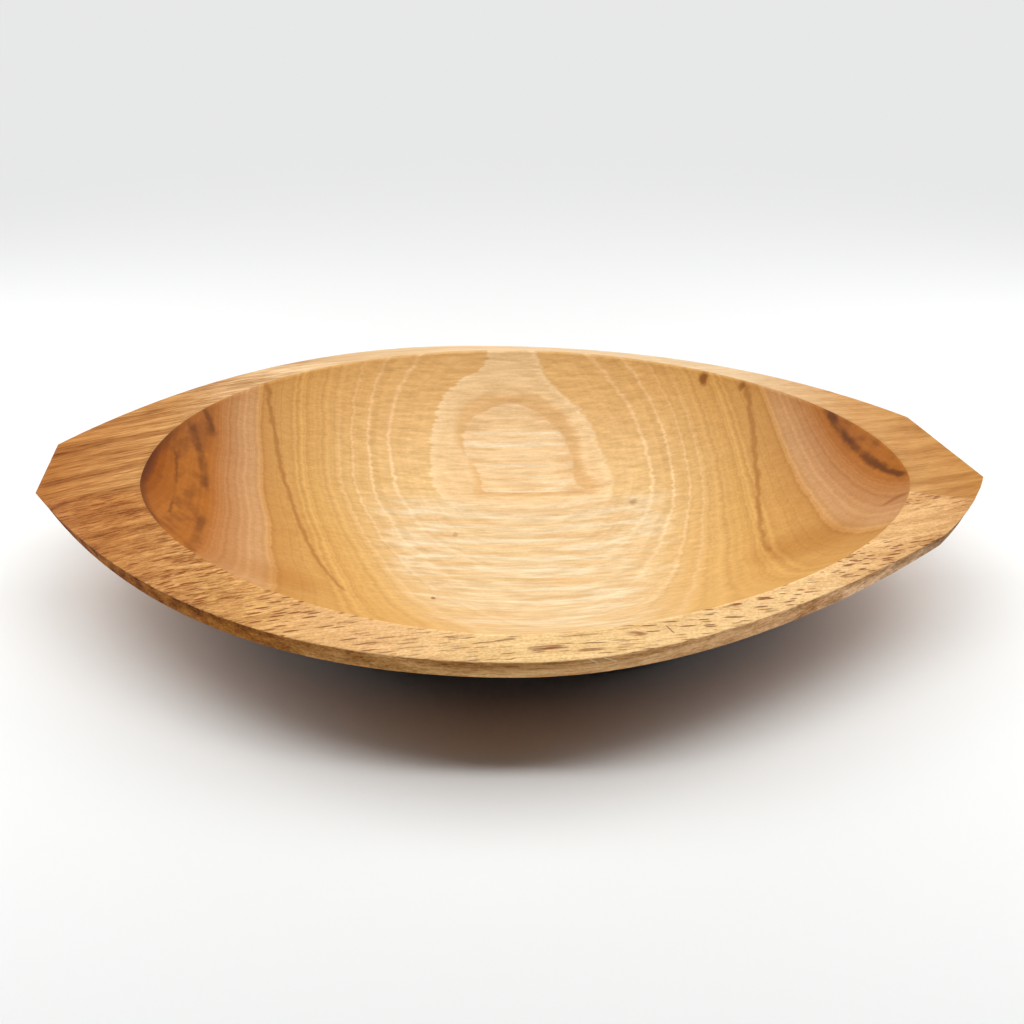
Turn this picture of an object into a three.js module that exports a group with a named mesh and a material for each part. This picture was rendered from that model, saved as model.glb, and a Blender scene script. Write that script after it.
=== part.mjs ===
// A shallow serving bowl carved from one block of hardwood. A slab is sawn to a lens-shaped outline
// with a blunt lug at each end, its underside is carved to a boat shape on a flat base, and an oval
// hollow is dug into the top, leaving a rim that slopes gently outwards.
// Millimetres, +X along the grain, +Y away from the front side, +Z up. The origin is the middle of
// the base, on the surface that the bowl stands on.

import * as THREE from 'three';

// The slab
const LENGTH = 400;
const WIDTH = 234;
const HEIGHT = 60;

// The long sides: where each is widest, and how far along each quarter its curve stays full
const FRONT_WIDEST_X = 2;
const BACK_WIDEST_X = -20;
const FRONT_LEFT_FULL = 0.64;
const FRONT_RIGHT_FULL = 0.44;
const BACK_LEFT_FULL = 0.56;
const BACK_RIGHT_FULL = 0.6;

// The left end: one saw cut, nearly square, between the tip and a back corner
const LEFT_TIP_Y = -4;
const LEFT_CORNER_Y = 33;
const LEFT_CORNER_SETBACK = 3;

// The right end: two saw cuts that meet in a blunt point
const RIGHT_TIP_Y = 8;
const RIGHT_BACK_Y = 55;
const RIGHT_BACK_SETBACK = 25;
const RIGHT_FRONT_Y = -34;
const RIGHT_FRONT_SETBACK = 23;

// The sawn edge, which thins towards the tips and leans in under the rim
const EDGE_SIDE = 8;
const EDGE_TIP = 3.5;
const EDGE_LEAN_SIDE = 1;
const EDGE_LEAN_TIP = 2.5;
const EDGE_THINNING = 5;

// The rim around the hollow, from the hollow's edge to the outline
const RIM_FRONT = 12;
const RIM_BACK = 11;
const LEFT_LUG = 44;
const RIGHT_LUG = 33;
const RIM_DROP = 4;

// The hollow: how full its oval is in each quarter, beside a plain ellipse, and how its wall curves
const HOLLOW_Y = 1;
const FULLNESS_ELLIPSE = 2;
const FULLNESS_FRONT = 1.75;
const FULLNESS_BACK_RIGHT = 1.85;
const FULLNESS_BACK_LEFT = 2.1;
const FLOOR = 14;
const WALL_ROUND = 2.2;
const WALL_STEEPNESS = 0.9;

// The underside and the flat base that it runs down to
const BASE_LENGTH = 180;
const BASE_WIDTH = 114;
const FULLNESS_BASE = 2.5;

// Facets: steps around each stretch of the outline, and rings up the underside and down the hollow
const SIDE_STEPS = 18;
const CUT_STEPS = 4;
const UNDERSIDE_RINGS = 6;
const HOLLOW_RINGS = 9;

const HALF_LENGTH = LENGTH / 2;
const HALF_WIDTH = WIDTH / 2;

// The point that pulls one quarter of a long side outwards, level with the side's widest point.
function pullPoint(apex, corner, full) {
  return new THREE.Vector2(apex.x + full * (corner.x - apex.x), apex.y);
}

// The slab's sawn outline, counter-clockwise from the left tip.
function sawnOutline() {
  const leftTip = new THREE.Vector2(-HALF_LENGTH, LEFT_TIP_Y);
  const leftCorner = new THREE.Vector2(-HALF_LENGTH + LEFT_CORNER_SETBACK, LEFT_CORNER_Y);
  const frontApex = new THREE.Vector2(FRONT_WIDEST_X, -HALF_WIDTH);
  const backApex = new THREE.Vector2(BACK_WIDEST_X, HALF_WIDTH);
  const rightTip = new THREE.Vector2(HALF_LENGTH, RIGHT_TIP_Y);
  const rightBack = new THREE.Vector2(HALF_LENGTH - RIGHT_BACK_SETBACK, RIGHT_BACK_Y);
  const rightFront = new THREE.Vector2(HALF_LENGTH - RIGHT_FRONT_SETBACK, RIGHT_FRONT_Y);
  const path = new THREE.Path();
  const curveTo = (pull, end) => path.quadraticCurveTo(pull.x, pull.y, end.x, end.y);
  path.moveTo(leftTip.x, leftTip.y);
  curveTo(pullPoint(frontApex, leftTip, FRONT_LEFT_FULL), frontApex);
  curveTo(pullPoint(frontApex, rightFront, FRONT_RIGHT_FULL), rightFront);
  path.lineTo(rightTip.x, rightTip.y);
  path.lineTo(rightBack.x, rightBack.y);
  curveTo(pullPoint(backApex, rightBack, BACK_RIGHT_FULL), backApex);
  curveTo(pullPoint(backApex, leftCorner, BACK_LEFT_FULL), leftCorner);
  path.lineTo(leftTip.x, leftTip.y);
  return path.curves.flatMap((stretch) => {
    const steps = stretch.isLineCurve ? CUT_STEPS : SIDE_STEPS;
    return stretch.getPoints(steps).slice(0, -1);
  });
}

// The cosine or sine of a spoke's angle on an oval that is fuller or slimmer than an ellipse.
function bulge(ratio, fullness) {
  return Math.sign(ratio) * Math.pow(Math.abs(ratio), FULLNESS_ELLIPSE / fullness);
}

// The hollow's oval, one share of its full size, on the spoke that leads to an outline point.
// Towards the middle the quarters even out to a plain ellipse.
function hollowPoint(outlinePoint, share) {
  const toRight = outlinePoint.x >= 0;
  const toBack = outlinePoint.y >= HOLLOW_Y;
  const reachX = toRight ? HALF_LENGTH - RIGHT_LUG : HALF_LENGTH - LEFT_LUG;
  const reachY = toBack ? HALF_WIDTH - RIM_BACK - HOLLOW_Y : HALF_WIDTH - RIM_FRONT + HOLLOW_Y;
  const backFullness = toRight ? FULLNESS_BACK_RIGHT : FULLNESS_BACK_LEFT;
  const edgeFullness = toBack ? backFullness : FULLNESS_FRONT;
  const fullness = FULLNESS_ELLIPSE + (edgeFullness - FULLNESS_ELLIPSE) * share * share;
  const angle = Math.atan2((outlinePoint.y - HOLLOW_Y) / reachY, outlinePoint.x / reachX);
  return new THREE.Vector2(
    share * reachX * bulge(Math.cos(angle), fullness),
    HOLLOW_Y + share * reachY * bulge(Math.sin(angle), fullness),
  );
}

function hollowHeight(share) {
  const depth = HEIGHT - FLOOR;
  return HEIGHT - depth * Math.pow(1 - Math.pow(share, WALL_ROUND), WALL_STEEPNESS);
}

// The lower line of the sawn edge, below an outline point.
function edgeFoot(outlinePoint) {
  const nearTip = Math.pow(Math.min(1, Math.abs(outlinePoint.x) / HALF_LENGTH), EDGE_THINNING);
  const thickness = EDGE_SIDE + (EDGE_TIP - EDGE_SIDE) * nearTip;
  const lean = EDGE_LEAN_SIDE + (EDGE_LEAN_TIP - EDGE_LEAN_SIDE) * nearTip;
  const inward = 1 - lean / outlinePoint.length();
  return new THREE.Vector3(
    outlinePoint.x * inward,
    outlinePoint.y * inward,
    HEIGHT - RIM_DROP - thickness,
  );
}

function basePoint(outlinePoint) {
  const angle = Math.atan2(outlinePoint.y / WIDTH, outlinePoint.x / LENGTH);
  return new THREE.Vector3(
    BASE_LENGTH / 2 * bulge(Math.cos(angle), FULLNESS_BASE),
    BASE_WIDTH / 2 * bulge(Math.sin(angle), FULLNESS_BASE),
    0,
  );
}

// One ring of the underside, from the base at climb 0 straight up to the foot of the edge at climb 1.
function undersideRing(outline, climb) {
  return outline.map((point) => basePoint(point).lerp(edgeFoot(point), climb));
}

function levelRing(plan, height) {
  return plan.map((point) => new THREE.Vector3(point.x, point.y, height));
}

// A closed skin from ring to ring, drawn together to a point at either end.
function skin(start, rings, end) {
  const around = rings[0].length;
  const points = [start, ...rings.flat(), end];
  const last = points.length - 1;
  const at = (ring, spoke) => 1 + ring * around + spoke % around;
  const faces = [];
  for (let spoke = 0; spoke < around; spoke += 1) {
    faces.push(0, at(0, spoke + 1), at(0, spoke));
    for (let ring = 0; ring + 1 < rings.length; ring += 1) {
      const [low, lowNext] = [at(ring, spoke), at(ring, spoke + 1)];
      const [high, highNext] = [at(ring + 1, spoke), at(ring + 1, spoke + 1)];
      faces.push(low, lowNext, highNext, low, highNext, high);
    }
    faces.push(at(rings.length - 1, spoke), at(rings.length - 1, spoke + 1), last);
  }
  const geometry = new THREE.BufferGeometry().setFromPoints(points);
  geometry.setIndex(faces);
  geometry.computeVertexNormals();
  return geometry;
}

function carvedBowl() {
  const outline = sawnOutline();
  const rings = [];
  for (let ring = 0; ring <= UNDERSIDE_RINGS; ring += 1) {
    rings.push(undersideRing(outline, ring / UNDERSIDE_RINGS));
  }
  rings.push(levelRing(outline, HEIGHT - RIM_DROP));
  for (let ring = HOLLOW_RINGS; ring > 0; ring -= 1) {
    const share = ring / HOLLOW_RINGS;
    rings.push(levelRing(outline.map((point) => hollowPoint(point, share)), hollowHeight(share)));
  }
  const baseMiddle = new THREE.Vector3(0, 0, 0);
  const floorMiddle = new THREE.Vector3(0, HOLLOW_Y, FLOOR);
  return skin(baseMiddle, rings, floorMiddle);
}

const oiledHardwood = new THREE.MeshStandardMaterial({ color: 0xd9a566, roughness: 0.5, metalness: 0 });

const bowl = new THREE.Mesh(carvedBowl(), oiledHardwood);
bowl.name = 'bowl';

const part = new THREE.Group();
part.add(bowl);

export default part;
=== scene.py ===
import math

import bmesh
import bpy
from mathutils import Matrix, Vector, noise


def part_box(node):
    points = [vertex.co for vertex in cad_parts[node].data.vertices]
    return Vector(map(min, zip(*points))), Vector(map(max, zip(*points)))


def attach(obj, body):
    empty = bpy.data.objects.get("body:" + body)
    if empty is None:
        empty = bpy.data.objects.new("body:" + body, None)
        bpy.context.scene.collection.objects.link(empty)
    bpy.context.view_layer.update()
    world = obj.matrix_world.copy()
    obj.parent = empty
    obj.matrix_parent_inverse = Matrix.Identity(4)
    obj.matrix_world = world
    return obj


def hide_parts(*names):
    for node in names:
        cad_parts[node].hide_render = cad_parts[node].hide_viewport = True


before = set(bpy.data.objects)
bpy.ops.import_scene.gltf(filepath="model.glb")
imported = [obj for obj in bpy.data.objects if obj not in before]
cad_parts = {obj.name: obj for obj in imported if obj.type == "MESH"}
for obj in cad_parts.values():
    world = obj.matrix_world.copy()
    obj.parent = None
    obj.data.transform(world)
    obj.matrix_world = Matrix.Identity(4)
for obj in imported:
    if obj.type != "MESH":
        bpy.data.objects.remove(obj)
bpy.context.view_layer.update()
scene = bpy.context.scene
scene.view_settings.view_transform = "Standard"

# The camera
# It stands in front of the bowl and looks down on it by 35 degrees, through a lens whose focal
# length is 2133 pixels of the 1024-pixel square frame.
FRAME_PIXELS = 1024
FOCAL_PIXELS = 2133
LOOK_DOWN = math.radians(35)
CAMERA_BACK = 0.7412
CAMERA_HEIGHT = 0.5623

camera_data = bpy.data.cameras.new("camera")
camera_data.sensor_width = 36
camera_data.lens = camera_data.sensor_width * FOCAL_PIXELS / FRAME_PIXELS
camera = bpy.data.objects.new("camera", camera_data)
camera.location = (0, -CAMERA_BACK, CAMERA_HEIGHT)
camera.rotation_euler = (math.pi / 2 - LOOK_DOWN, 0, 0)
scene.collection.objects.link(camera)
scene.camera = camera

# The floor and the studio light
# A wide matt white table that fades into the white of the room. A narrow softbox hangs overhead, a wide
# one slightly behind, and two small ones stand beside the ends. The room itself adds very little.
FLOOR_HALF = 8.0
FLOOR_WHITE = (0.865, 0.875, 0.865, 1)
ROOM_WHITE = (0.80, 0.81, 0.805, 1)
FADE_CENTRE = (0, -0.4, 0)
FADE_FROM = 0.60
FADE_TO = 0.86
ROOM_LIGHT = 0.03
STRIP_PLACE = Vector((0.0, -0.14, 2.0))
STRIP_SIZE = (2.8, 0.28)
STRIP_WATTS = 18.5
CEILING_PLACE = Vector((0.0, 0.85, 2.4))
CEILING_SIZE = (7.7, 2.1)
CEILING_WATTS = 66
SIDE_OUT = 0.52
SIDE_BACK = 0.10
SIDE_HEIGHT = 0.30
SIDE_AIM = 0.2
SIDE_SIZE = (0.35, 0.5)
SIDE_WATTS = 1.5


def seen_rays(nodes, links):
    rays = nodes.new("ShaderNodeLightPath")
    mirrored = nodes.new("ShaderNodeMath")
    mirrored.operation = "MAXIMUM"
    links.new(rays.outputs["Is Glossy Ray"], mirrored.inputs[0])
    links.new(rays.outputs["Is Transmission Ray"], mirrored.inputs[1])
    seen = nodes.new("ShaderNodeMath")
    seen.operation = "MAXIMUM"
    links.new(rays.outputs["Is Camera Ray"], seen.inputs[0])
    links.new(mirrored.outputs["Value"], seen.inputs[1])
    return seen.outputs["Value"]


floor_mesh = bpy.data.meshes.new("floor")
bm = bmesh.new()
bmesh.ops.create_grid(bm, x_segments=1, y_segments=1, size=FLOOR_HALF)
bm.to_mesh(floor_mesh)
bm.free()
floor = bpy.data.objects.new("floor", floor_mesh)
scene.collection.objects.link(floor)
floor_paint = bpy.data.materials.new("matt_white_table")
floor_paint.use_nodes = True
nodes = floor_paint.node_tree.nodes
links = floor_paint.node_tree.links
floor_shader = nodes["Principled BSDF"]
floor_shader.inputs["Base Color"].default_value = FLOOR_WHITE
floor_shader.inputs["Roughness"].default_value = 0.9
floor_shader.inputs["Specular IOR Level"].default_value = 0.1
room = nodes.new("ShaderNodeEmission")
room.inputs["Color"].default_value = ROOM_WHITE
place = nodes.new("ShaderNodeTexCoord")
distance = nodes.new("ShaderNodeVectorMath")
distance.operation = "DISTANCE"
distance.inputs[1].default_value = FADE_CENTRE
links.new(place.outputs["Object"], distance.inputs[0])
fade = nodes.new("ShaderNodeMapRange")
fade.interpolation_type = "SMOOTHSTEP"
fade.inputs["From Min"].default_value = FADE_FROM
fade.inputs["From Max"].default_value = FADE_TO
links.new(distance.outputs["Value"], fade.inputs["Value"])
seen = seen_rays(nodes, links)
seen_fade = nodes.new("ShaderNodeMath")
seen_fade.operation = "MULTIPLY"
links.new(fade.outputs["Result"], seen_fade.inputs[0])
links.new(seen, seen_fade.inputs[1])
blend = nodes.new("ShaderNodeMixShader")
links.new(seen_fade.outputs["Value"], blend.inputs["Fac"])
links.new(floor_shader.outputs["BSDF"], blend.inputs[1])
links.new(room.outputs["Emission"], blend.inputs[2])
links.new(blend.outputs["Shader"], nodes["Material Output"].inputs["Surface"])
floor_mesh.materials.append(floor_paint)


def hang_softbox(name, place, aim, size, watts):
    data = bpy.data.lights.new(name, "AREA")
    data.shape = "RECTANGLE"
    data.size, data.size_y = size
    data.energy = watts
    lamp = bpy.data.objects.new(name, data)
    lamp.location = place
    lamp.rotation_euler = (aim - place).to_track_quat("-Z", "Y").to_euler()
    scene.collection.objects.link(lamp)


hang_softbox("strip_softbox", STRIP_PLACE, Vector((0, STRIP_PLACE.y, 0)), STRIP_SIZE, STRIP_WATTS)
hang_softbox("ceiling_softbox", CEILING_PLACE, Vector((0, CEILING_PLACE.y, 0)), CEILING_SIZE, CEILING_WATTS)
for end in (-1, 1):
    side_place = Vector((end * SIDE_OUT, SIDE_BACK, SIDE_HEIGHT))
    hang_softbox("side_softbox", side_place, Vector((end * SIDE_AIM, 0, 0)), SIDE_SIZE, SIDE_WATTS)
world = bpy.data.worlds.new("studio")
world.use_nodes = True
nodes = world.node_tree.nodes
links = world.node_tree.links
nodes["Background"].inputs["Color"].default_value = ROOM_WHITE
level = nodes.new("ShaderNodeMapRange")
level.inputs["To Min"].default_value = ROOM_LIGHT
level.inputs["To Max"].default_value = 1
links.new(seen_rays(nodes, links), level.inputs["Value"])
links.new(level.outputs["Result"], nodes["Background"].inputs["Strength"])
scene.world = world

# The bowl
# One block of hardwood with the grain along its length. A slab is sawn to a lens-shaped outline with
# blunt ends, its underside is carved down to a flat base, and an oval hollow is dug out and sanded.
low, high = (Vector(corner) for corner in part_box("bowl"))
HALF_LENGTH = (high.x - low.x) / 2
HALF_WIDTH = (high.y - low.y) / 2
HEIGHT = high.z - low.z

# The sawn outline runs counter-clockwise from the left tip: straight cuts at the ends and long sides
# that are pulled outwards from each side's widest point.
FRONT_WIDEST = Vector((0.002, -HALF_WIDTH))
BACK_WIDEST = Vector((-0.020, HALF_WIDTH))
LEFT_TIP = Vector((-HALF_LENGTH, -0.004))
LEFT_BACK = Vector((-HALF_LENGTH + 0.003, 0.033))
RIGHT_TIP = Vector((HALF_LENGTH, 0.008))
RIGHT_BACK = Vector((HALF_LENGTH - 0.025, 0.055))
RIGHT_FRONT = Vector((HALF_LENGTH - 0.023, -0.034))
RIGHT_CUT_BULGE = Vector((0.0055, 0))
FRONT_LEFT_PULL = 0.64
FRONT_RIGHT_PULL = 0.44
BACK_RIGHT_PULL = 0.60
BACK_LEFT_PULL = 0.56
SPOKE_GAP = 0.0014


def pull_point(widest, corner, full):
    return Vector((widest.x + full * (corner.x - widest.x), widest.y))


stretches = [
    (LEFT_TIP, pull_point(FRONT_WIDEST, LEFT_TIP, FRONT_LEFT_PULL), FRONT_WIDEST),
    (FRONT_WIDEST, pull_point(FRONT_WIDEST, RIGHT_FRONT, FRONT_RIGHT_PULL), RIGHT_FRONT),
    (RIGHT_FRONT, (RIGHT_FRONT + RIGHT_TIP) / 2 + RIGHT_CUT_BULGE, RIGHT_TIP),
    (RIGHT_TIP, (RIGHT_TIP + RIGHT_BACK) / 2, RIGHT_BACK),
    (RIGHT_BACK, pull_point(BACK_WIDEST, RIGHT_BACK, BACK_RIGHT_PULL), BACK_WIDEST),
    (BACK_WIDEST, pull_point(BACK_WIDEST, LEFT_BACK, BACK_LEFT_PULL), LEFT_BACK),
    (LEFT_BACK, (LEFT_BACK + LEFT_TIP) / 2, LEFT_TIP),
]
outline = []
for start, pull, end in stretches:
    steps = round((end - start).length / SPOKE_GAP)
    for step in range(steps):
        t = step / steps
        outline.append(start * (1 - t) ** 2 + pull * (2 * t * (1 - t)) + end * t ** 2)

# The hollow is an oval that reaches a different way to each end and side. Its quarters are fuller or
# slimmer than an ellipse at the rim and even out towards the middle.
HOLLOW_Y = 0.001
LEFT_LUG = 0.044
RIGHT_LUG = 0.033
RIM_FRONT = 0.012
RIM_BACK = 0.011
REACH_LEFT = HALF_LENGTH - LEFT_LUG
REACH_RIGHT = HALF_LENGTH - RIGHT_LUG
REACH_FRONT = HALF_WIDTH - RIM_FRONT + HOLLOW_Y
REACH_BACK = HALF_WIDTH - RIM_BACK - HOLLOW_Y
ELLIPSE = 2
FULL_FRONT = 1.75
FULL_BACK_RIGHT = 1.85
FULL_BACK_LEFT = 2.1
FLOOR_THICKNESS = 0.014
WALL_ROUND = 2.2
WALL_STEEPNESS = 0.9


def bulge(ratio, full):
    return math.copysign(abs(ratio) ** (ELLIPSE / full), ratio)


def hollow_point(rim, share):
    reach_x = REACH_RIGHT if rim.x >= 0 else REACH_LEFT
    reach_y = REACH_BACK if rim.y >= HOLLOW_Y else REACH_FRONT
    full_back = FULL_BACK_RIGHT if rim.x >= 0 else FULL_BACK_LEFT
    full = full_back if rim.y >= HOLLOW_Y else FULL_FRONT
    full = ELLIPSE + (full - ELLIPSE) * share ** 2
    angle = math.atan2((rim.y - HOLLOW_Y) / reach_y, rim.x / reach_x)
    along = bulge(math.cos(angle), full)
    across = bulge(math.sin(angle), full)
    fall = (HEIGHT - FLOOR_THICKNESS) * (1 - share ** WALL_ROUND) ** WALL_STEEPNESS
    return Vector((share * reach_x * along, HOLLOW_Y + share * reach_y * across, HEIGHT - fall))


# The sawn edge thins towards the tips and leans in below the rim. The underside runs from its foot
# down to the oval base that the bowl stands on.
RIM_DROP = 0.004
EDGE_SIDE = 0.008
EDGE_TIP = 0.0035
LEAN_SIDE = 0.001
LEAN_TIP = 0.0025
THINNING = 5
BASE_HALF_LENGTH = 0.090
BASE_HALF_WIDTH = 0.057
FULL_BASE = 2.5


def rim_corner(rim):
    return Vector((rim.x, rim.y, HEIGHT - RIM_DROP))


def edge_foot(rim):
    near_tip = min(1, abs(rim.x) / HALF_LENGTH) ** THINNING
    thickness = EDGE_SIDE + (EDGE_TIP - EDGE_SIDE) * near_tip
    lean = LEAN_SIDE + (LEAN_TIP - LEAN_SIDE) * near_tip
    inward = rim * (1 - lean / rim.length)
    return Vector((inward.x, inward.y, HEIGHT - RIM_DROP - thickness))


def base_point(rim):
    angle = math.atan2(rim.y / HALF_WIDTH, rim.x / HALF_LENGTH)
    along = BASE_HALF_LENGTH * bulge(math.cos(angle), FULL_BASE)
    across = BASE_HALF_WIDTH * bulge(math.sin(angle), FULL_BASE)
    return Vector((along, across, 0))


# The hand tools leave small waves in every face. The sharp corner where the edge meets the rim is
# rubbed round, more in some places than in others, with a few chips along the sawn front.
CORNER_ROUND = 0.0004
CORNER_CHIP = 0.0011
CHIP_LENGTH = 0.0055
CHIP_FROM = 0.25
CHIP_AT_BACK = 0.3
RIM_WAVE = 0.00022
RIM_WAVE_LENGTH = 0.02
EDGE_WAVE = 0.00025
EDGE_WAVE_LENGTH = 0.009
UNDERSIDE_WAVE = 0.0005
UNDERSIDE_WAVE_LENGTH = 0.016


def wave(point, length, height):
    return height * noise.noise(Vector(point) / length)


def corner_wear(rim):
    roughness = noise.noise(Vector((rim.x, rim.y, 0)) / CHIP_LENGTH)
    chip = max(0, roughness - CHIP_FROM) / (1 - CHIP_FROM)
    return CORNER_ROUND + CORNER_CHIP * chip * (1 if rim.y < 0 else CHIP_AT_BACK)


def corner_point(rim, turn):
    wear = corner_wear(rim)
    corner = rim_corner(rim)
    inward = (hollow_point(rim, 1) - corner).normalized()
    down = (edge_foot(rim) - corner).normalized()
    angle = turn * math.pi / 2
    return corner + inward * wear * (1 - math.cos(angle)) + down * wear * (1 - math.sin(angle))


def underside_point(rim, climb):
    point = base_point(rim).lerp(edge_foot(rim), climb)
    point.z += wave(point, UNDERSIDE_WAVE_LENGTH, UNDERSIDE_WAVE) * math.sin(climb * math.pi)
    return point


def edge_point(rim, climb):
    point = edge_foot(rim).lerp(corner_point(rim, 0), climb)
    outward = Vector((rim.x, rim.y, 0)).normalized()
    return point + outward * (wave(point, EDGE_WAVE_LENGTH, EDGE_WAVE) - EDGE_WAVE)


def rim_point(rim, inward):
    point = corner_point(rim, 1).lerp(hollow_point(rim, 1), inward)
    point.z += wave(point, RIM_WAVE_LENGTH, RIM_WAVE) * math.sin(inward * math.pi)
    return point


# The skin is one loop of edges that is drawn from the base up the outside, over the rim and down the
# hollow, ring by ring. Each vertex knows which spoke of the outline it belongs to.
HOLLOW, RIM, EDGE, UNDERSIDE = range(4)
UNDERSIDE_RINGS = 22
EDGE_RINGS = 5
CORNER_RINGS = 3
RIM_RINGS = 12
HOLLOW_RINGS = 44
RING_CROWDING = 1.3

bm = bmesh.new()
spoke_of = bm.verts.layers.int.new("spoke")
bmesh.ops.create_circle(bm, cap_ends=True, cap_tris=True, segments=len(outline), radius=1)
base_ring = [vert for vert in bm.verts if vert.is_boundary]
for spoke, vert in enumerate(sorted(base_ring, key=lambda vert: math.atan2(vert.co.y, vert.co.x))):
    vert[spoke_of] = spoke
    vert.co = underside_point(outline[spoke], 0)
for face in bm.faces:
    face.material_index = UNDERSIDE
loop = [edge for edge in bm.edges if edge.is_boundary]


def draw_ring(loop, finish, place):
    grown = bmesh.ops.extrude_edge_only(bm, edges=loop)["geom"]
    for part in grown:
        if isinstance(part, bmesh.types.BMVert):
            part.co = place(outline[part[spoke_of]])
        elif isinstance(part, bmesh.types.BMFace):
            part.material_index = finish
    return [part for part in grown if isinstance(part, bmesh.types.BMEdge) and part.is_boundary]


for ring in range(1, UNDERSIDE_RINGS + 1):
    loop = draw_ring(loop, UNDERSIDE, lambda rim: underside_point(rim, ring / UNDERSIDE_RINGS))
for ring in range(1, EDGE_RINGS + 1):
    loop = draw_ring(loop, EDGE, lambda rim: edge_point(rim, ring / EDGE_RINGS))
for ring in range(1, CORNER_RINGS + 1):
    loop = draw_ring(loop, RIM, lambda rim: corner_point(rim, ring / CORNER_RINGS))
for ring in range(1, RIM_RINGS + 1):
    loop = draw_ring(loop, RIM, lambda rim: rim_point(rim, ring / RIM_RINGS))
for ring in range(1, HOLLOW_RINGS):
    share = 1 - (ring / HOLLOW_RINGS) ** RING_CROWDING
    loop = draw_ring(loop, HOLLOW, lambda rim: hollow_point(rim, share))
loop = draw_ring(loop, HOLLOW, lambda rim: hollow_point(rim, 0))
middle = list({vert for edge in loop for vert in edge.verts})
bmesh.ops.pointmerge(bm, verts=middle, merge_co=(0, HOLLOW_Y, FLOOR_THICKNESS))
for face in bm.faces:
    face.smooth = True
bmesh.ops.recalc_face_normals(bm, faces=bm.faces)
bowl_mesh = bpy.data.meshes.new("carved_bowl")
bm.to_mesh(bowl_mesh)
bm.free()


# The finishes of the wood share two shader node groups and a few short functions that wire their nodes.
def srgb(red, green, blue):
    shares = (red / 255, green / 255, blue / 255)
    return [s / 12.92 if s <= 0.04045 else ((s + 0.055) / 1.055) ** 2.4 for s in shares] + [1]


def feed(tree, socket, value):
    if isinstance(value, bpy.types.NodeSocket):
        tree.links.new(value, socket)
    else:
        socket.default_value = value


def add(tree, kind, inputs=(), **settings):
    made = tree.nodes.new(kind)
    for name, value in settings.items():
        setattr(made, name, value)
    for socket, value in dict(inputs).items():
        feed(tree, made.inputs[socket], value)
    return made


def calc(tree, operation, *values):
    made = tree.nodes.new("ShaderNodeMath")
    made.operation = operation
    for socket, value in zip(made.inputs, values):
        feed(tree, socket, value)
    return made.outputs["Value"]


def total(tree, *values):
    result = values[0]
    for value in values[1:]:
        result = calc(tree, "ADD", result, value)
    return result


def scaled(tree, colour, factor):
    made = add(tree, "ShaderNodeVectorMath", {0: colour, "Scale": factor}, operation="SCALE")
    return made.outputs["Vector"]


def ramp(tree, value, stops):
    start, end = stops[0][0], stops[-1][0]
    share = add(tree, "ShaderNodeMapRange", {"Value": value, "From Min": start, "From Max": end})
    made = add(tree, "ShaderNodeValToRGB", {"Fac": share.outputs["Result"]})
    elements = made.color_ramp.elements
    while len(elements) < len(stops):
        elements.new(0.5)
    for element, (place, colour) in zip(elements, stops):
        element.position = (place - start) / (end - start)
        element.color = srgb(*colour)
    return made.outputs["Color"]


def curve(tree, value, stops):
    start, end = stops[0][0], stops[-1][0]
    heights = [height for place, height in stops]
    low, high = min(heights), max(heights)
    share = add(tree, "ShaderNodeMapRange", {"Value": value, "From Min": start, "From Max": end})
    made = add(tree, "ShaderNodeFloatCurve", {"Value": share.outputs["Result"]})
    points = made.mapping.curves[0].points
    points[0].location = (0, (heights[0] - low) / (high - low))
    points[1].location = (1, (heights[-1] - low) / (high - low))
    for place, height in stops[1:-1]:
        points.new((place - start) / (end - start), (height - low) / (high - low))
    made.mapping.update()
    return calc(tree, "MULTIPLY_ADD", made.outputs["Value"], high - low, low)


def stretched_noise(tree, place, stretch, detail=2.0, roughness=0.5):
    drawn = add(tree, "ShaderNodeVectorMath", {0: place, 1: stretch}, operation="MULTIPLY")
    made = add(tree, "ShaderNodeTexNoise",
               {"Vector": drawn.outputs["Vector"], "Scale": 1.0, "Detail": detail, "Roughness": roughness})
    return made.outputs["Fac"]


def dashes(tree, place, stretch, share):
    drawn = add(tree, "ShaderNodeVectorMath", {0: place, 1: stretch}, operation="MULTIPLY")
    made = add(tree, "ShaderNodeTexVoronoi", {"Vector": drawn.outputs["Vector"], "Scale": 1.0})
    lot = add(tree, "ShaderNodeSeparateColor", {"Color": made.outputs["Color"]}).outputs["Red"]
    chosen = between(tree, lot, 1 - share, 1.08 - share)
    return calc(tree, "MULTIPLY", between(tree, made.outputs["Distance"], 0.42, 0.24), chosen)


def swing(tree, value, height):
    return calc(tree, "MULTIPLY", calc(tree, "SUBTRACT", value, 0.5), 2 * height)


def between(tree, value, start, end):
    made = add(tree, "ShaderNodeMapRange", {"Value": value, "From Min": start, "From Max": end},
               interpolation_type="SMOOTHSTEP")
    return made.outputs["Result"]


def power_series(tree, value, factors):
    result = factors[-1]
    for factor in reversed(factors[:-1]):
        result = calc(tree, "MULTIPLY_ADD", value, result, factor)
    return result


def new_group(name, outputs, inputs=()):
    tree = bpy.data.node_groups.new(name, "ShaderNodeTree")
    for socket, kind in outputs:
        tree.interface.new_socket(socket, in_out="OUTPUT", socket_type=kind)
    for socket, kind in inputs:
        tree.interface.new_socket(socket, in_out="INPUT", socket_type=kind)
    return tree


# The growth rings are cylinders around the pith, which ran above the bowl along its length, with a
# lean, a bow and the swellings of a real log. Lengths along and across count in tenths of a metre,
# radii in millimetres.
PITH_Y = (-25.5, 8.5, 25)
PITH_Z = (167, 7, -8.5, -1.5)
SWELL_ACROSS = (0, 4.5, 0, -14)
SWELL_CORNERS = (0, 1, 5.5)
RING_WANDER = 1.7
RING_RUFFLE = 0.8

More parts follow.
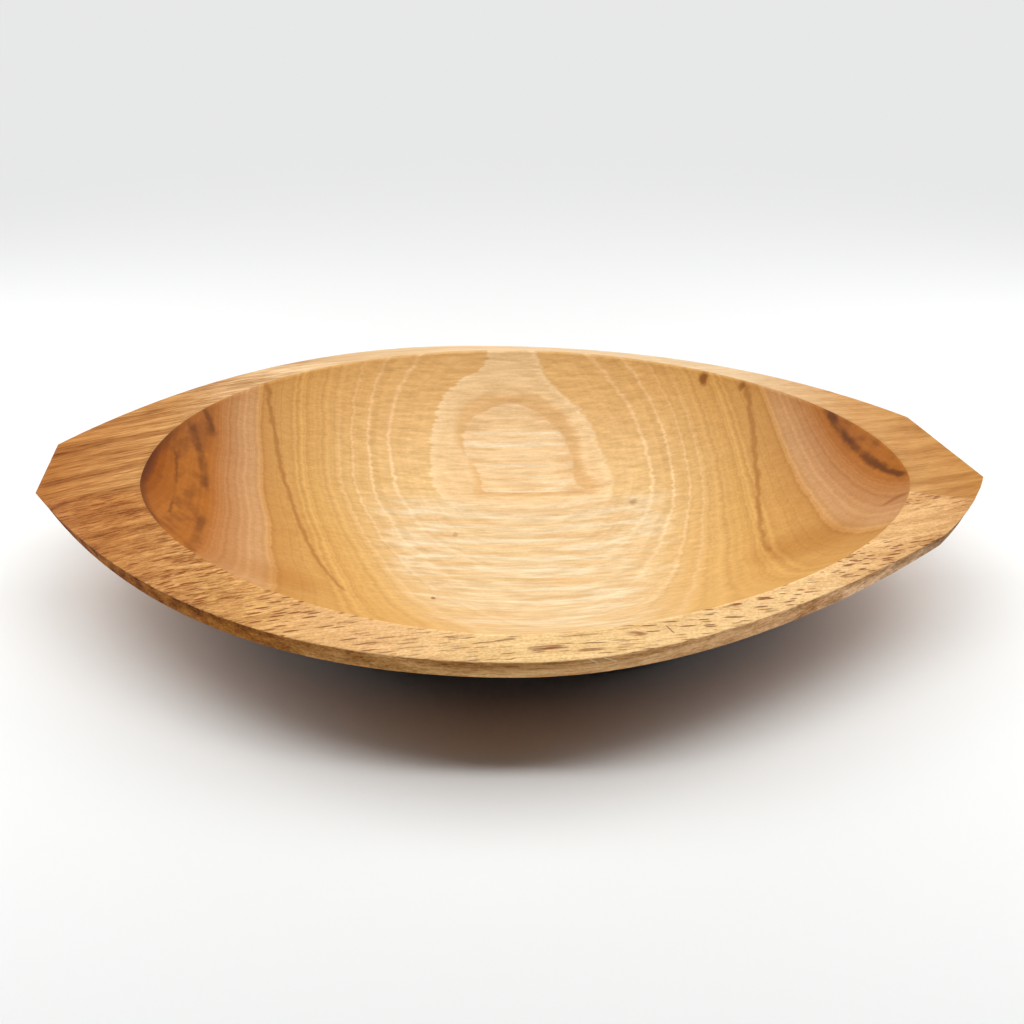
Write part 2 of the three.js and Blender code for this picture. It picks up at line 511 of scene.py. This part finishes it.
rings = new_group("growth_rings", [("Radius", "NodeSocketFloat")])
place = add(rings, "ShaderNodeTexCoord").outputs["Object"]
parts = add(rings, "ShaderNodeSeparateXYZ", {"Vector": place})
along = calc(rings, "MULTIPLY", parts.outputs["X"], 10)
across = calc(rings, "MULTIPLY", parts.outputs["Y"], 10)
pith_y = power_series(rings, along, PITH_Y)
pith_z = power_series(rings, along, PITH_Z)
off_y = calc(rings, "SUBTRACT", calc(rings, "MULTIPLY", across, 100), pith_y)
off_z = calc(rings, "MULTIPLY_ADD", parts.outputs["Z"], -1000, pith_z)
squares = calc(rings, "MULTIPLY_ADD", off_y, off_y, calc(rings, "MULTIPLY", off_z, off_z))
radius = total(
    rings,
    calc(rings, "SQRT", squares),
    power_series(rings, across, SWELL_ACROSS),
    power_series(rings, calc(rings, "MULTIPLY", along, across), SWELL_CORNERS),
    swing(rings, stretched_noise(rings, place, (16, 30, 30), 1), RING_WANDER),
    swing(rings, stretched_noise(rings, place, (45, 420, 420), 3, 0.6), RING_RUFFLE),
)
add(rings, "NodeGroupOutput", {"Radius": radius})

# Fibres, streaks, flecks and open pores run along the grain, which swings round a little at the ends.
GRAIN_SWING = (0, 0.10, 0.25, 2.7)
LAYER_WAVE = 0.003

grain = new_group("grain", [(name, "NodeSocketFloat") for name in
                            ("Fibre", "Streak", "Fleck", "Layer", "Pore", "Speckle")])
place = add(grain, "ShaderNodeTexCoord").outputs["Object"]
parts = add(grain, "ShaderNodeSeparateXYZ", {"Vector": place})
drift = power_series(grain, parts.outputs["X"], GRAIN_SWING)
straight = add(grain, "ShaderNodeCombineXYZ", {
    "X": parts.outputs["X"],
    "Y": calc(grain, "SUBTRACT", parts.outputs["Y"], drift),
    "Z": parts.outputs["Z"],
}).outputs["Vector"]
short_pores = dashes(grain, straight, (58, 1000, 1000), 0.42)
fine_pores = dashes(grain, straight, (90, 1300, 1300), 0.42)
long_pores = dashes(grain, straight, (26, 950, 950), 0.75)
crowding = between(grain, stretched_noise(grain, straight, (14, 80, 80), 1), 0.28, 0.52)
to_left = between(grain, parts.outputs["X"], 0.01, -0.08)
to_right = calc(grain, "SUBTRACT", 1.0, to_left)
right_pores = calc(grain, "MULTIPLY", calc(grain, "MAXIMUM", short_pores, fine_pores), to_right)
left_pores = calc(grain, "MULTIPLY", long_pores, to_left)
pores = calc(grain, "MULTIPLY", calc(grain, "MAXIMUM", right_pores, left_pores), crowding)
lifted = add(grain, "ShaderNodeCombineXYZ", {
    "Y": swing(grain, stretched_noise(grain, place, (28, 20, 20), 1), LAYER_WAVE),
}).outputs["Vector"]
wavy = add(grain, "ShaderNodeVectorMath", {0: place, 1: lifted}, operation="ADD").outputs["Vector"]
add(grain, "NodeGroupOutput", {
    "Fibre": stretched_noise(grain, straight, (28, 1200, 1200), 4, 0.6),
    "Streak": stretched_noise(grain, straight, (7, 170, 170), 5, 0.65),
    "Fleck": stretched_noise(grain, place, (80, 520, 520), 2, 0.6),
    "Layer": stretched_noise(grain, wavy, (7, 250, 340), 2, 0.6),
    "Pore": pores,
    "Speckle": stretched_noise(grain, straight, (700, 1500, 1500), 2, 0.6),
})


def wood_material(name, roughness):
    material = bpy.data.materials.new(name)
    material.use_nodes = True
    shader = material.node_tree.nodes["Principled BSDF"]
    shader.inputs["Roughness"].default_value = roughness
    shader.inputs["Specular IOR Level"].default_value = 0.12
    bowl_mesh.materials.append(material)
    return material.node_tree, shader


def place_group(tree, group):
    return add(tree, "ShaderNodeGroup", node_tree=group).outputs


def millimetres(tree):
    place = add(tree, "ShaderNodeTexCoord").outputs["Object"]
    return scaled(tree, place, 1000)


def tint(tree, colour, share, towards, depth=1.0):
    made = add(tree, "ShaderNodeMix", {"Factor": calc(tree, "MULTIPLY", share, depth)}, data_type="RGBA")
    feed(tree, made.inputs["A"], colour)
    feed(tree, made.inputs["B"], srgb(*towards))
    return made.outputs["Result"]


def weathered(tree, colour, shade):
    warm = add(tree, "ShaderNodeCombineXYZ", {
        "X": shade,
        "Y": calc(tree, "POWER", shade, 1.4),
        "Z": calc(tree, "POWER", shade, 1.9),
    }).outputs["Vector"]
    return add(tree, "ShaderNodeVectorMath", {0: colour, 1: warm}, operation="MULTIPLY").outputs["Vector"]


def stroke(tree, across, along, stops, width):
    offset = calc(tree, "ABSOLUTE", calc(tree, "SUBTRACT", across, curve(tree, along, stops)))
    start, end = stops[0][0], stops[-1][0]
    ends = calc(tree, "MULTIPLY", between(tree, along, start - width, start + width),
                between(tree, along, end + width, end - width))
    return calc(tree, "MULTIPLY", between(tree, offset, width, 0.15 * width), ends)


def spot(tree, place, middle, reach):
    level = add(tree, "ShaderNodeVectorMath", {0: place, 1: (1 / reach[0], 1 / reach[1], 0)},
                operation="MULTIPLY")
    offset = (middle[0] / reach[0], middle[1] / reach[1], 0)
    distance = add(tree, "ShaderNodeVectorMath", {0: level.outputs["Vector"], 1: offset},
                   operation="DISTANCE")
    return between(tree, distance.outputs["Value"], 1, 0.3)


# The hollow: sanded smooth and oiled, so the rings show in full colour, from brown heartwood at the
# ends through pink and gold to the pale wood of the middle.
HEARTWOOD_AND_LIP_SHADE = (95, 35, 10)
RUSSET = (150, 80, 20)
AMBER = (175, 105, 40)
ROSE = (190, 135, 85)
PALE_ROSE = (205, 155, 105)
GOLD = (195, 140, 75)
HONEY = (210, 160, 90)
STRAW = (230, 190, 130)
CREAM = (245, 212, 162)
# The first stop, reached only just under the left lip, is dark heartwood and also painted shade of the
# steep wall there.
RING_TONES = [(82, HEARTWOOD_AND_LIP_SHADE), (86, RUSSET), (94, AMBER), (104, AMBER), (112, ROSE), (119, PALE_ROSE),
              (122, GOLD), (136, HONEY), (158, STRAW)]
PALE_RINGS = [(143.5, 0.3), (146.5, 0.35), (150, 0.65), (154, 0.75)]
PALE_RING_WIDTH = 0.55
CORE_LEFT = [(47, -13), (58, -16), (68, -22), (78, -21), (85, -12), (88, 2)]
CORE_RIGHT = [(47, 34), (52, 29), (66, 27), (78, 20), (88, 2)]
CORE_SHADE = 5
HALO_LEFT = [(33, -10), (42, -30), (54, -36), (84, -34), (95, -25), (103, -12), (112, -9)]
HALO_RIGHT = [(33, 30), (46, 45), (66, 40), (80, 34), (103, 12), (112, 10)]
KNOTS = [
    ((86.8, 85.4), (2.8, 3.2), 0.8),
    ((103.5, 78), (1.8, 2.2), 0.6),
    ((-33, -27), (1.3, 1.2), 0.75),
    ((54, 38), (2.4, 2.0), 0.45),
    ((-25, 22), (1.8, 2.4), 0.3),
    ((160, -8), (8, 2.4), 0.45),
]
RING_STROKES = [
    ([(-31, -70), (-10, -82), (27, -97), (50, -104), (77, -110)], 1.7, 0.6),
    ([(-12, 109), (10, 107), (43, 108), (79, 104)], 1.9, 0.6),
]
DARK_STROKES = [
    ([(46, -132), (52, -133), (56, -137)], 3.0, 0.65),
    ([(16, -132), (32, -135), (47, -141)], 3.0, 0.6),
    ([(-48, -130), (-4, -131)], 3.2, 0.5),
    ([(-13, -143), (17, -144), (30, -146)], 1.0, 0.5),
    ([(4, 166), (18, 157), (31, 150), (56, 139)], 2.8, 0.8),
]
GOLD_SHADE = (174, 114, 48)
BACK_WALL_TONE = (225, 163, 88)
HALO_TONE = (237, 199, 146)
HALO_EDGE_TONE = (243, 209, 159)
CORE_SHADE_TONE = (216, 165, 103)
CORE_TONE = (235, 198, 147)
FLOOR_TONE = (225, 200, 160)
PALE_LAYER = (237, 217, 184)
DARK_LAYER = (222, 175, 116)
BLOTCH_TONE = (112, 60, 26)
LIP_SHADE_TONE = (86, 44, 20)
RING_STROKE_TONE = (158, 100, 42)
DARK_STROKE_TONE = (82, 40, 18)
KNOT_TONE = (125, 62, 12)
GOLD_SHADES = [((124, -14), (32, 17), 0.5), ((-96, -34), (26, 16), 0.4)]

tree, shader = wood_material("oiled_hollow", 0.45)
radius = place_group(tree, rings)["Radius"]
fibres = place_group(tree, grain)
place = millimetres(tree)
parts = add(tree, "ShaderNodeSeparateXYZ", {"Vector": place})
colour = ramp(tree, radius, RING_TONES)
for ring, depth in PALE_RINGS:
    offset = calc(tree, "ABSOLUTE", calc(tree, "SUBTRACT", radius, ring))
    line = between(tree, offset, PALE_RING_WIDTH, 0)
    colour = tint(tree, colour, line, CREAM, depth)

for middle, reach, depth in GOLD_SHADES:
    colour = tint(tree, colour, spot(tree, place, middle, reach), GOLD_SHADE, depth)


# The pale core and the lighter halo round it lie on the back wall, and their sides fray along the grain.
def inside(tree, left, right, fray, grow=0):
    lowered = calc(tree, "SUBTRACT", parts.outputs["Y"], grow)
    frayed = calc(tree, "ADD", parts.outputs["X"], swing(tree, fibres["Fleck"], fray))
    from_left = calc(tree, "SUBTRACT", frayed, curve(tree, lowered, left))
    from_right = calc(tree, "SUBTRACT", curve(tree, lowered, right), frayed)
    from_foot = calc(tree, "MULTIPLY", calc(tree, "SUBTRACT", parts.outputs["Y"], left[0][0]), 2)
    from_head = calc(tree, "SUBTRACT", left[-1][0], lowered)
    around = calc(tree, "MINIMUM", calc(tree, "MINIMUM", from_left, from_right), from_foot)
    return calc(tree, "MINIMUM", calc(tree, "ADD", around, grow), from_head)


back_wall = between(tree, parts.outputs["Y"], 45, 95)
colour = tint(tree, colour, back_wall, BACK_WALL_TONE, 0.4)
in_halo = inside(tree, HALO_LEFT, HALO_RIGHT, 3.5)
halo = between(tree, in_halo, -0.8, 0.8)
halo_edge = calc(tree, "SUBTRACT", halo, between(tree, in_halo, 0.8, 5))
in_shade = inside(tree, CORE_LEFT, CORE_RIGHT, 3, CORE_SHADE)
core = between(tree, inside(tree, CORE_LEFT, CORE_RIGHT, 2.2), -0.4, 1.4)
colour = tint(tree, colour, halo, HALO_TONE)
colour = tint(tree, colour, halo_edge, HALO_EDGE_TONE, 0.6)
colour = tint(tree, colour, between(tree, in_shade, -1, 4), CORE_SHADE_TONE, 0.65)
colour = tint(tree, colour, core, CORE_TONE)

# Layers of the wood show as level streaks in the core and across the floor, and as flecks elsewhere.
from_middle = calc(tree, "ABSOLUTE", calc(tree, "SUBTRACT", parts.outputs["X"], 5))
on_floor = calc(tree, "MULTIPLY", between(tree, parts.outputs["Y"], 47, 36),
                between(tree, radius, 139, 149))
on_floor = calc(tree, "MULTIPLY", on_floor, between(tree, from_middle, 78, 38))
colour = tint(tree, colour, on_floor, FLOOR_TONE, 0.6)
layered = calc(tree, "MAXIMUM", core, on_floor)
pale_layers = calc(tree, "MULTIPLY", between(tree, fibres["Layer"], 0.50, 0.64), layered)
dark_layers = calc(tree, "MULTIPLY", between(tree, fibres["Layer"], 0.50, 0.36), layered)
colour = tint(tree, colour, pale_layers, PALE_LAYER, 0.6)
colour = tint(tree, colour, dark_layers, DARK_LAYER, 0.55)
ring_lines = add(tree, "ShaderNodeTexNoise",
                 {"W": radius, "Scale": 0.6, "Detail": 4.0, "Roughness": 0.65},
                 noise_dimensions="1D").outputs["Fac"]
flecked = calc(tree, "MULTIPLY_ADD", between(tree, radius, 138, 150), 0.16, 0.08)
flecks = calc(tree, "MULTIPLY", swing(tree, fibres["Fleck"], 1), flecked)
line_depth = calc(tree, "MULTIPLY_ADD", between(tree, radius, 150, 138), 0.14, 0.10)
lines = calc(tree, "MULTIPLY", swing(tree, ring_lines, 1), line_depth)
shade = total(tree, 1.0, lines, swing(tree, fibres["Fibre"], 0.13), swing(tree, fibres["Streak"], 0.08),
              swing(tree, fibres["Speckle"], 0.09), flecks)
colour = weathered(tree, colour, shade)
blotches = between(tree, stretched_noise(tree, place, (0.03, 0.06, 0.1), 3, 0.6), 0.46, 0.62)
blotches = calc(tree, "MULTIPLY", blotches, between(tree, radius, 108, 98))
colour = tint(tree, colour, blotches, BLOTCH_TONE, 0.5)
# Painted shade: a dark band on the steep wall just under the left lip.
lip_shade = calc(tree, "MULTIPLY", between(tree, parts.outputs["Z"], 56.5, 59.5),
           between(tree, parts.outputs["X"], -138, -150))
colour = tint(tree, colour, lip_shade, LIP_SHADE_TONE, 0.6)
waver = add(tree, "ShaderNodeVectorMath", {
    0: place,
    1: scaled(tree, add(tree, "ShaderNodeTexNoise", {"Vector": place, "Scale": 0.22}).outputs["Color"], 3),
}, operation="ADD").outputs["Vector"]
waver = add(tree, "ShaderNodeVectorMath", {0: waver, 1: (1.5, 1.5, 1.5)},
            operation="SUBTRACT").outputs["Vector"]
bent = add(tree, "ShaderNodeSeparateXYZ", {"Vector": waver}).outputs
for stops, width, depth in RING_STROKES:
    line = stroke(tree, bent["X"], bent["Y"], stops, width)
    colour = tint(tree, colour, line, RING_STROKE_TONE, depth)
patches = stretched_noise(tree, place, (0.06, 0.06, 0.08), 2)
strength = calc(tree, "MULTIPLY_ADD", between(tree, patches, 0.36, 0.58), 0.65, 0.35)
for stops, width, depth in DARK_STROKES:
    line = calc(tree, "MULTIPLY", stroke(tree, bent["X"], bent["Y"], stops, width), strength)
    colour = tint(tree, colour, line, DARK_STROKE_TONE, depth)
for middle, reach, depth in KNOTS:
    colour = tint(tree, colour, spot(tree, waver, middle, reach), KNOT_TONE, depth)
feed(tree, shader.inputs["Base Color"], colour)
bump = add(tree, "ShaderNodeBump", {"Height": fibres["Fibre"], "Distance": 0.0001, "Strength": 0.35})
feed(tree, shader.inputs["Normal"], bump.outputs["Normal"])

# The rim: planed at the back, and left rough from the saw at the front, where the open pores show.
BACK_TONES = [
    (-200, (155, 95, 40)),
    (-150, (178, 125, 70)),
    (-105, (215, 175, 128)),
    (-10, (235, 200, 155)),
    (100, (222, 190, 148)),
    (150, (195, 145, 90)),
    (200, (172, 117, 55)),
]
FRONT_TONES = [
    (-200, (160, 100, 50)),
    (-160, (165, 105, 50)),
    (-100, (215, 160, 95)),
    (-50, (240, 190, 130)),
    (0, (250, 208, 145)),
    (115, (245, 200, 140)),
    (150, (220, 172, 115)),
    (200, (195, 145, 90)),
]
PORE_TONE = (134, 58, 20)
TORN_TONE = (140, 66, 26)
NICK_TONE = (120, 66, 32)
TORN_GRAIN = [((23, -104.5), (9, 2.2)), ((14, -110), (9, 1.8)), ((48, -102.5), (6, 1.6))]
NICK = [(-100.8, 61.8), (-98, 59)]

tree, shader = wood_material("sawn_rim", 0.62)
fibres = place_group(tree, grain)
place = millimetres(tree)
parts = add(tree, "ShaderNodeSeparateXYZ", {"Vector": place})
rough = between(tree, parts.outputs["Y"], -8, -10)
left_end = between(tree, parts.outputs["X"], -60, -130)
board = add(tree, "ShaderNodeMix", {"Factor": rough}, data_type="RGBA")
feed(tree, board.inputs["A"], ramp(tree, parts.outputs["X"], BACK_TONES))
feed(tree, board.inputs["B"], ramp(tree, parts.outputs["X"], FRONT_TONES))
right_end = between(tree, parts.outputs["X"], 120, 165)
streak_depth = total(
    tree, 0.18,
    calc(tree, "MULTIPLY", left_end, 0.85),
    calc(tree, "MULTIPLY", right_end, 0.55),
)
fibre_depth = calc(tree, "MULTIPLY_ADD", left_end, 0.70, 0.28)
speckle_depth = calc(tree, "MULTIPLY_ADD", rough, 0.26, 0.05)
shade = total(
    tree, 1.0,
    calc(tree, "MULTIPLY", swing(tree, fibres["Streak"], 1), streak_depth),
    calc(tree, "MULTIPLY", swing(tree, fibres["Speckle"], 1), speckle_depth),
    calc(tree, "MULTIPLY", swing(tree, fibres["Fibre"], 1), fibre_depth),
)
colour = weathered(tree, board.outputs["Result"], shade)
pore_depth = calc(tree, "MULTIPLY", fibres["Pore"], calc(tree, "MULTIPLY_ADD", rough, 0.72, 0.07))
colour = tint(tree, colour, pore_depth, PORE_TONE)
torn_fibres = between(tree, fibres["Fibre"], 0.47, 0.56)
for middle, reach in TORN_GRAIN:
    torn = calc(tree, "MULTIPLY", spot(tree, place, middle, reach), torn_fibres)
    colour = tint(tree, colour, torn, TORN_TONE, 0.8)
nick = stroke(tree, parts.outputs["X"], parts.outputs["Y"], NICK, 0.6)
colour = tint(tree, colour, nick, NICK_TONE, 0.8)
feed(tree, shader.inputs["Base Color"], colour)
pits = calc(tree, "MULTIPLY", pore_depth, -1)
height = calc(tree, "MULTIPLY_ADD", fibres["Speckle"], speckle_depth, pits)
bump = add(tree, "ShaderNodeBump", {"Height": height, "Distance": 0.0004, "Strength": 0.8})
feed(tree, shader.inputs["Normal"], bump.outputs["Normal"])

# The sawn edge: bare fuzzy wood, browner at the left end and greyer at the right, with painted shade on the
# stretch below the right tip.
EDGE_TONES_WITH_TIP_SHADE = [
    (-200, (130, 70, 20)),
    (-100, (180, 115, 45)),
    (-40, (220, 165, 100)),
    (100, (235, 180, 125)),
    (145, (230, 185, 140)),
    (185, (140, 105, 70)),
    (200, (160, 115, 80)),
]
SPLINTER_TONE = (252, 232, 204)
SPLINTERS = [[(52.5, 39.5), (56, 34)], [(53, 32.5), (56.5, 28)]]

tree, shader = wood_material("sawn_edge", 0.8)
fibres = place_group(tree, grain)
parts = add(tree, "ShaderNodeSeparateXYZ", {"Vector": millimetres(tree)})
streak_depth = calc(tree, "MULTIPLY_ADD", between(tree, parts.outputs["X"], -60, -130), 0.6, 0.95)
shade = total(
    tree, 1.0,
    calc(tree, "MULTIPLY", swing(tree, fibres["Streak"], 1), streak_depth),
    swing(tree, fibres["Fibre"], 0.65),
    swing(tree, fibres["Speckle"], 0.30),
    calc(tree, "MULTIPLY", fibres["Pore"], -0.2),
    calc(tree, "MULTIPLY", between(tree, parts.outputs["Z"], 51, 55), -0.2),
)
colour = weathered(tree, ramp(tree, parts.outputs["X"], EDGE_TONES_WITH_TIP_SHADE), shade)
for stops in SPLINTERS:
    splinter = stroke(tree, parts.outputs["X"], parts.outputs["Z"], stops, 0.7)
    colour = tint(tree, colour, splinter, SPLINTER_TONE, 0.75)
feed(tree, shader.inputs["Base Color"], colour)
bump = add(tree, "ShaderNodeBump", {"Height": fibres["Speckle"], "Distance": 0.0005, "Strength": 0.8})
feed(tree, shader.inputs["Normal"], bump.outputs["Normal"])

# The underside: carved with a gouge, and darker towards the base, where the dark tones are painted shade
# under the bowl.
UNDERSIDE_TONES_WITH_PAINTED_SHADE = [
    (0, (40, 17, 5)),
    (16, (92, 43, 13)),
    (30, (168, 108, 50)),
    (50, (198, 144, 88)),
]

tree, shader = wood_material("carved_underside", 0.7)
fibres = place_group(tree, grain)
parts = add(tree, "ShaderNodeSeparateXYZ", {"Vector": millimetres(tree)})
shade = total(
    tree, 1.0,
    swing(tree, fibres["Streak"], 0.3),
    swing(tree, fibres["Fibre"], 0.1),
    calc(tree, "MULTIPLY", fibres["Pore"], -0.25),
)
colour = scaled(tree, ramp(tree, parts.outputs["Z"], UNDERSIDE_TONES_WITH_PAINTED_SHADE), shade)
feed(tree, shader.inputs["Base Color"], colour)
bump = add(tree, "ShaderNodeBump", {"Height": fibres["Fibre"], "Distance": 0.0004, "Strength": 0.6})
feed(tree, shader.inputs["Normal"], bump.outputs["Normal"])

bowl = bpy.data.objects.new("carved_bowl", bowl_mesh)
scene.collection.objects.link(bowl)
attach(bowl, "root")
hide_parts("bowl")
